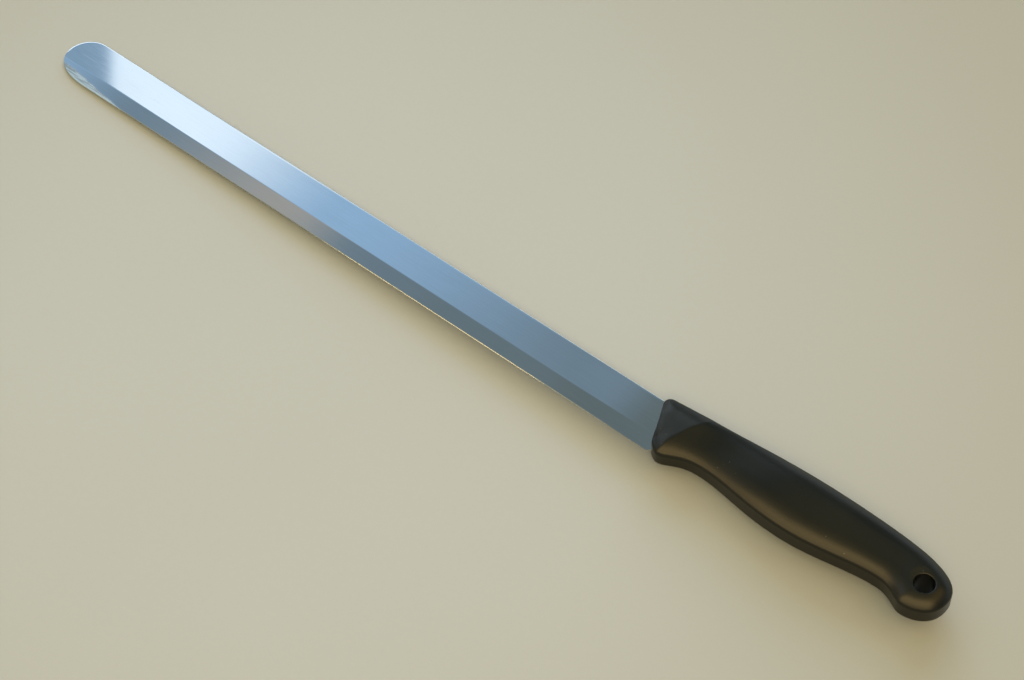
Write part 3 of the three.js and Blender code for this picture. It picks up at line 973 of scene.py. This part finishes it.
def make_world(stage):
    """The light of the room by its direction, which the knife mirrors. The camera sees a plain backdrop.

    Across and beyond are how far a direction leads along the knife and past its spine as it rises by 1.
    """
    world = bpy.data.worlds.new("room")
    bpy.context.scene.world = world
    world.use_nodes = True
    tree = world.node_tree
    tree.nodes.clear()
    way = Signal.node(tree, "ShaderNodeTexCoord").output("Generated")
    x = Signal.node(tree, "ShaderNodeSeparateXYZ", {}, {"Vector": way})
    y = x.output("Y")
    up = x.output("Z")
    across = x / up.at_least(LEAST_RISE)
    beyond = y / up.at_least(LEAST_RISE)

    # Soft light from above and from both sides, and low light along the near and the far side.
    in_ceiling = up.ramp(0.6, 0.9) * beyond.ramp(0.2, -0.1)
    in_side = across.band(-0.28, -0.1, 0.1, 0.3) * beyond.band(0.0, 0.25, 0.55, 0.8)
    in_right = across.band(0.25, 0.45, 1.1, 1.5) * beyond.band(-0.6, -0.35, 0.7, 1.0)
    in_left = across.ramp(-0.74, -0.88) * beyond.band(-0.9, -0.4, 0.42, 0.5) * up.ramp(0.3, 0.5)
    in_near = up.ramp(0.5, 0.3) * y.ramp(-0.2, -0.5)
    in_horizon = up.ramp(0.5, 0.3) * y.ramp(0.2, 0.6)

    # A cool sky that brightens towards the tip, with a warm patch and two bright panes in it.
    ahead = beyond.band(0.0, 0.25, 0.95, 1.25)
    above = beyond.ramp(0.42, 0.48)
    slanted = across + 0.9 * (beyond - 0.559)
    clear = beyond.ramp(0.33, 0.5).at_least(0.8 * across.ramp(-0.675, -0.74))
    in_sky = 0.27 * across.ramp(-0.40, -0.428) + 0.73 * across.ramp(-0.44, -0.60)
    in_sky = in_sky * (0.29 + 0.71 * clear) * ahead * (1 - 0.35 * slanted.ramp(-0.763, -0.781) * above)
    in_glow = across.band(-0.68, -0.575, -0.58, -0.535) * beyond.ramp(0.45, 0.38) * ahead
    in_pane = slanted.ramp(-0.777, -0.766) * across.ramp(-0.605, -0.705) * above * ahead
    in_window = across.ramp(-0.82, -0.90) * beyond.ramp(0.58, 0.64) * ahead

    light = shade(stage.room)
    for inside, tint, strength in (
        (in_ceiling, stage.ceiling, 1.0),
        (in_side, stage.ceiling, 1.6),
        (in_right, stage.strip, 1.5),
        (in_near, stage.floor, 1.0),
        (in_horizon, stage.horizon, 1.0),
        (in_sky, stage.sky, 1.0),
        (in_glow, stage.glow, 1.0),
        (in_pane, stage.pane, 1.0),
        (in_window, stage.pane, 1.85),
        (in_left, stage.pane, 0.95),
    ):
        light = inside.mix(light, shade(tint, strength))
    seen = Signal.node(tree, "ShaderNodeLightPath").output("Is Camera Ray").mix(light, shade(stage.backdrop))
    background = Signal.node(tree, "ShaderNodeBackground", {}, {"Color": seen, "Strength": 1.0})
    Signal.node(tree, "ShaderNodeOutputWorld", {}, {"Surface": background})


def make_lamp(name, tint, power, place, size):
    """A soft panel of light that faces the knife."""
    lamp = bpy.data.lights.new(name, "AREA")
    lamp.shape = "RECTANGLE"
    lamp.size, lamp.size_y = size
    lamp.color = tint
    lamp.energy = power
    panel = add_object(name, lamp)
    panel.location = place
    panel.rotation_euler = Vector(place).to_track_quat("Z", "Y").to_euler()
    panel.visible_camera = False
    return panel


def make_lamps(stage):
    """A warm strip that is only mirrored, and two lamps that only light the surfaces."""
    strip = make_lamp("strip_panel", stage.strip, stage.strip_power, STRIP_PLACE, STRIP_SIZE)
    strip.visible_diffuse = False
    main_panel = make_lamp("main_panel", stage.main_lamp, stage.main_power, MAIN_PLACE, MAIN_SIZE)
    main_panel.visible_glossy = False
    far = make_lamp("far_panel", stage.far_lamp, stage.far_power, FAR_PLACE, FAR_SIZE)
    far.visible_glossy = False


def make_camera(stage):
    """The camera at the photograph's place."""
    back = Vector((
        math.sin(stage.azimuth) * math.cos(stage.elevation),
        -math.cos(stage.azimuth) * math.cos(stage.elevation),
        math.sin(stage.elevation),
    ))
    lens = bpy.data.cameras.new("camera")
    lens.sensor_width = 36
    lens.lens = stage.lens
    camera = add_object("camera", lens)
    camera.location = Vector(stage.aim) + back * stage.distance
    camera.rotation_euler = back.to_track_quat("Z", "Y").to_euler()
    bpy.context.scene.camera = camera
    bpy.context.scene.view_settings.view_transform = "Standard"


# Operators and panel

class CAKE_KNIFE_OT_blade(bpy.types.Operator):
    """Build the steel blade with its tang"""

    bl_idname = "cake_knife.blade"
    bl_label = "Blade"

    def execute(self, context):
        scene = context.scene
        mesh = blade_mesh(scene.knife_blade, scene.knife_handle)
        material = steel_material(scene.knife_finish, scene.knife_blade)
        put("blade_visual", mesh, material, "blade", 100)
        return {"FINISHED"}


class CAKE_KNIFE_OT_handle(bpy.types.Operator):
    """Build the moulded handle with its hanging hole"""

    bl_idname = "cake_knife.handle"
    bl_label = "Handle"

    def execute(self, context):
        scene = context.scene
        mesh = handle_mesh(scene.knife_handle, scene.knife_blade)
        material = plastic_material(scene.knife_finish)
        put("handle_visual", mesh, material, "handle", 50)
        return {"FINISHED"}


class CAKE_KNIFE_OT_stage(bpy.types.Operator):
    """Lay the table and set the lights and the camera"""

    bl_idname = "cake_knife.stage"
    bl_label = "Stage"

    def execute(self, context):
        stage = context.scene.knife_stage
        make_floor(stage)
        make_world(stage)
        make_lamps(stage)
        make_camera(stage)
        return {"FINISHED"}


class CAKE_KNIFE_PT_sidebar(bpy.types.Panel):
    """The knife's pieces, with their sizes and colours"""

    bl_label = "Cake knife"
    bl_idname = "CAKE_KNIFE_PT_sidebar"
    bl_space_type = "VIEW_3D"
    bl_region_type = "UI"
    bl_category = "Knife"

    def draw(self, context):
        for operator in OPERATORS:
            self.layout.operator(operator.bl_idname)
        for name, kind in SETTINGS.items():
            box = self.layout.box()
            box.label(text=kind.__doc__)
            for setting in kind.__annotations__:
                box.prop(getattr(context.scene, name), setting)


SETTINGS = {
    "knife_blade": BladeSizes,
    "knife_handle": HandleSizes,
    "knife_finish": Finish,
    "knife_stage": Stage,
}
OPERATORS = (CAKE_KNIFE_OT_blade, CAKE_KNIFE_OT_handle, CAKE_KNIFE_OT_stage)


def register():
    """Adds the classes, and the settings to the scene."""
    for kind in (*SETTINGS.values(), *OPERATORS, CAKE_KNIFE_PT_sidebar):
        bpy.utils.register_class(kind)
    for name, kind in SETTINGS.items():
        setattr(bpy.types.Scene, name, PointerProperty(type=kind))


def unregister():
    """Takes away what register added."""
    for name in SETTINGS:
        delattr(bpy.types.Scene, name)
    for kind in (CAKE_KNIFE_PT_sidebar, *reversed(OPERATORS), *reversed(SETTINGS.values())):
        bpy.utils.unregister_class(kind)


def main():
    """Builds the knife and its stage."""
    register()
    bpy.ops.cake_knife.blade()
    bpy.ops.cake_knife.handle()
    bpy.ops.cake_knife.stage()


if __name__ == "__main__":
    main()
